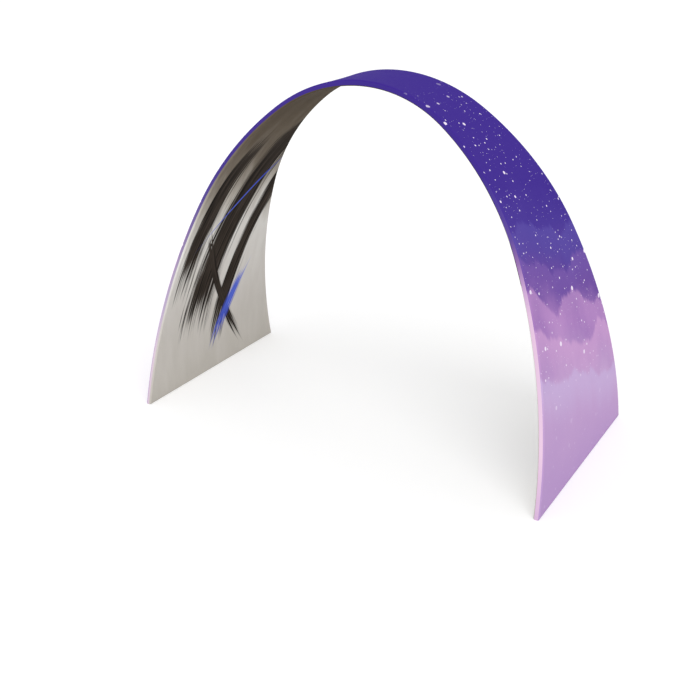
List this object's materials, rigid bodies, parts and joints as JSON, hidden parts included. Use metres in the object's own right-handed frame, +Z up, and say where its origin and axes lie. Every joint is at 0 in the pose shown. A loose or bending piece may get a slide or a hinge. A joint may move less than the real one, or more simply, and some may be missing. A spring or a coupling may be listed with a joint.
{
  "type": "fabric display arch",
  "caption": "Walk-through tension-fabric display arch: bent tube hoops leaning towards each other, held by spreaders under a printed zip-on cover",
  "frame": {"origin": "on the floor under the middle of the arch", "axes": "+X along the span, from the left foot to the right foot as seen from the front; +Y to the back, the way people walk through; +Z up"},
  "size_m": [3.1606, 1.5977, 2.4524],
  "materials": {
    "frame tube": "mill-finish drawn tube, satin",
    "corner casting": "as cast, fine grain",
    "screw steel": "zinc plated",
    "spring steel": "bright spring steel",
    "button steel": "nickel plated",
    "outer print": "dye-printed stretch polyester, matt",
    "inner print": "dye-printed stretch polyester, matt",
    "edge fabric": "dye-printed stretch polyester, matt",
    "hem fabric": "dye-printed stretch polyester, matt",
    "zip tape": "woven tape, matt",
    "zip coil": "moulded nylon coil",
    "zip metal": "nickel plated die casting"
  },
  "bodies": {
    "frame": {"front_crown_tube": "frame tube", "front_left_haunch_tube": "frame tube", "front_right_haunch_tube": "frame tube", "front_left_leg_tube": "frame tube", "front_right_leg_tube": "frame tube", "front_left_corner": "corner casting", "front_right_corner": "corner casting", "back_crown_tube": "frame tube", "back_left_haunch_tube": "frame tube", "back_right_haunch_tube": "frame tube", "back_left_leg_tube": "frame tube", "back_right_leg_tube": "frame tube", "back_left_corner": "corner casting", "back_right_corner": "corner casting", "crown_spreader": "frame tube", "left_haunch_spreader": "frame tube", "right_haunch_spreader": "frame tube", "left_leg_spreader": "frame tube", "right_leg_spreader": "frame tube", "left_base_tube": "frame tube", "right_base_tube": "frame tube", "corner_set_screws": "screw steel", "snap_springs": "spring steel", "outer_panel": "outer print", "inner_panel": "inner print", "front_edge_strip": "edge fabric", "back_outer_edge_strip": "edge fabric", "back_inner_edge_strip": "edge fabric", "left_hem": "hem fabric", "right_hem": "hem fabric", "left_zip_tapes": "zip tape", "right_zip_tapes": "zip tape", "left_zip_chain": "zip coil", "right_zip_chain": "zip coil", "zip_stops": "zip metal"},
    "front_left_crown_button": {"front_left_crown_button": "button steel"},
    "front_left_haunch_button": {"front_left_haunch_button": "button steel"},
    "front_right_crown_button": {"front_right_crown_button": "button steel"},
    "front_right_haunch_button": {"front_right_haunch_button": "button steel"},
    "front_crown_stub_button": {"front_crown_stub_button": "button steel"},
    "front_left_haunch_stub_button": {"front_left_haunch_stub_button": "button steel"},
    "front_right_haunch_stub_button": {"front_right_haunch_stub_button": "button steel"},
    "front_left_leg_stub_button": {"front_left_leg_stub_button": "button steel"},
    "front_right_leg_stub_button": {"front_right_leg_stub_button": "button steel"},
    "back_left_crown_button": {"back_left_crown_button": "button steel"},
    "back_left_haunch_button": {"back_left_haunch_button": "button steel"},
    "back_right_crown_button": {"back_right_crown_button": "button steel"},
    "back_right_haunch_button": {"back_right_haunch_button": "button steel"},
    "back_crown_stub_button": {"back_crown_stub_button": "button steel"},
    "back_left_haunch_stub_button": {"back_left_haunch_stub_button": "button steel"},
    "back_right_haunch_stub_button": {"back_right_haunch_stub_button": "button steel"},
    "back_left_leg_stub_button": {"back_left_leg_stub_button": "button steel"},
    "back_right_leg_stub_button": {"back_right_leg_stub_button": "button steel"},
    "left_zip_slider": {"left_zip_slider": "zip metal"},
    "left_zip_pull": {"left_zip_pull": "zip metal"},
    "right_zip_slider": {"right_zip_slider": "zip metal"},
    "right_zip_pull": {"right_zip_pull": "zip metal"}
  },
  "joints": [
    {"name": "front_left_crown_button_press", "type": "slide", "parent": "frame", "child": "front_left_crown_button", "axis": [0, -0.9749, 0.2227], "range_m": [0, 0.0066], "stiffness_N_per_m": 1500, "springref_m": -0.004, "deforming": ["snap_springs"]},
    {"name": "front_left_haunch_button_press", "type": "slide", "parent": "frame", "child": "front_left_haunch_button", "axis": [0, -0.9749, 0.2227], "range_m": [0, 0.0066], "stiffness_N_per_m": 1500, "springref_m": -0.004, "deforming": ["snap_springs"]},
    {"name": "front_right_crown_button_press", "type": "slide", "parent": "frame", "child": "front_right_crown_button", "axis": [0, -0.9749, 0.2227], "range_m": [0, 0.0066], "stiffness_N_per_m": 1500, "springref_m": -0.004, "deforming": ["snap_springs"]},
    {"name": "front_right_haunch_button_press", "type": "slide", "parent": "frame", "child": "front_right_haunch_button", "axis": [0, -0.9749, 0.2227], "range_m": [0, 0.0066], "stiffness_N_per_m": 1500, "springref_m": -0.004, "deforming": ["snap_springs"]},
    {"name": "front_crown_stub_button_press", "type": "slide", "parent": "frame", "child": "front_crown_stub_button", "axis": [1, 0, 0], "range_m": [0, 0.0066], "stiffness_N_per_m": 1500, "springref_m": -0.004, "deforming": ["snap_springs"]},
    {"name": "front_left_haunch_stub_button_press", "type": "slide", "parent": "frame", "child": "front_left_haunch_stub_button", "axis": [-0.639, 0, -0.7692], "range_m": [0, 0.0066], "stiffness_N_per_m": 1500, "springref_m": -0.004, "deforming": ["snap_springs"]},
    {"name": "front_right_haunch_stub_button_press", "type": "slide", "parent": "frame", "child": "front_right_haunch_stub_button", "axis": [0.639, 0, -0.7692], "range_m": [0, 0.0066], "stiffness_N_per_m": 1500, "springref_m": -0.004, "deforming": ["snap_springs"]},
    {"name": "front_left_leg_stub_button_press", "type": "slide", "parent": "frame", "child": "front_left_leg_stub_button", "axis": [-0.2304, 0, -0.9731], "range_m": [0, 0.0066], "stiffness_N_per_m": 1500, "springref_m": -0.004, "deforming": ["snap_springs"]},
    {"name": "front_right_leg_stub_button_press", "type": "slide", "parent": "frame", "child": "front_right_leg_stub_button", "axis": [0.2304, 0, -0.9731], "range_m": [0, 0.0066], "stiffness_N_per_m": 1500, "springref_m": -0.004, "deforming": ["snap_springs"]},
    {"name": "back_left_crown_button_press", "type": "slide", "parent": "frame", "child": "back_left_crown_button", "axis": [0, 0.9749, 0.2227], "range_m": [0, 0.0066], "stiffness_N_per_m": 1500, "springref_m": -0.004, "deforming": ["snap_springs"]},
    {"name": "back_left_haunch_button_press", "type": "slide", "parent": "frame", "child": "back_left_haunch_button", "axis": [0, 0.9749, 0.2227], "range_m": [0, 0.0066], "stiffness_N_per_m": 1500, "springref_m": -0.004, "deforming": ["snap_springs"]},
    {"name": "back_right_crown_button_press", "type": "slide", "parent": "frame", "child": "back_right_crown_button", "axis": [0, 0.9749, 0.2227], "range_m": [0, 0.0066], "stiffness_N_per_m": 1500, "springref_m": -0.004, "deforming": ["snap_springs"]},
    {"name": "back_right_haunch_button_press", "type": "slide", "parent": "frame", "child": "back_right_haunch_button", "axis": [0, 0.9749, 0.2227], "range_m": [0, 0.0066], "stiffness_N_per_m": 1500, "springref_m": -0.004, "deforming": ["snap_springs"]},
    {"name": "back_crown_stub_button_press", "type": "slide", "parent": "frame", "child": "back_crown_stub_button", "axis": [1, 0, 0], "range_m": [0, 0.0066], "stiffness_N_per_m": 1500, "springref_m": -0.004, "deforming": ["snap_springs"]},
    {"name": "back_left_haunch_stub_button_press", "type": "slide", "parent": "frame", "child": "back_left_haunch_stub_button", "axis": [-0.639, 0, -0.7692], "range_m": [0, 0.0066], "stiffness_N_per_m": 1500, "springref_m": -0.004, "deforming": ["snap_springs"]},
    {"name": "back_right_haunch_stub_button_press", "type": "slide", "parent": "frame", "child": "back_right_haunch_stub_button", "axis": [0.639, 0, -0.7692], "range_m": [0, 0.0066], "stiffness_N_per_m": 1500, "springref_m": -0.004, "deforming": ["snap_springs"]},
    {"name": "back_left_leg_stub_button_press", "type": "slide", "parent": "frame", "child": "back_left_leg_stub_button", "axis": [-0.2304, 0, -0.9731], "range_m": [0, 0.0066], "stiffness_N_per_m": 1500, "springref_m": -0.004, "deforming": ["snap_springs"]},
    {"name": "back_right_leg_stub_button_press", "type": "slide", "parent": "frame", "child": "back_right_leg_stub_button", "axis": [0.2304, 0, -0.9731], "range_m": [0, 0.0066], "stiffness_N_per_m": 1500, "springref_m": -0.004, "deforming": ["snap_springs"]},
    {"name": "left_zip_travel", "type": "hinge", "parent": "frame", "child": "left_zip_slider", "pos_m": [2.46211, 0.80491, -0.10901], "axis": [0, 0.9749, 0.2227], "range_deg": [0, 20], "deforming": ["left_zip_chain"]},
    {"name": "left_zip_pull_swing", "type": "hinge", "parent": "left_zip_slider", "child": "left_zip_pull", "pos_m": [-1.55738, 0.78708, 0.08214], "axis": [0.9989, 0.0106, -0.0465], "range_deg": [0, 170]},
    {"name": "right_zip_travel", "type": "hinge", "parent": "frame", "child": "right_zip_slider", "pos_m": [-2.46211, 0.80491, -0.10901], "axis": [0, -0.9749, -0.2227], "range_deg": [0, 20], "deforming": ["right_zip_chain"]},
    {"name": "right_zip_pull_swing", "type": "hinge", "parent": "right_zip_slider", "child": "right_zip_pull", "pos_m": [1.55738, 0.78708, 0.08214], "axis": [0.9989, -0.0106, 0.0465], "range_deg": [0, 170]}
  ]
}
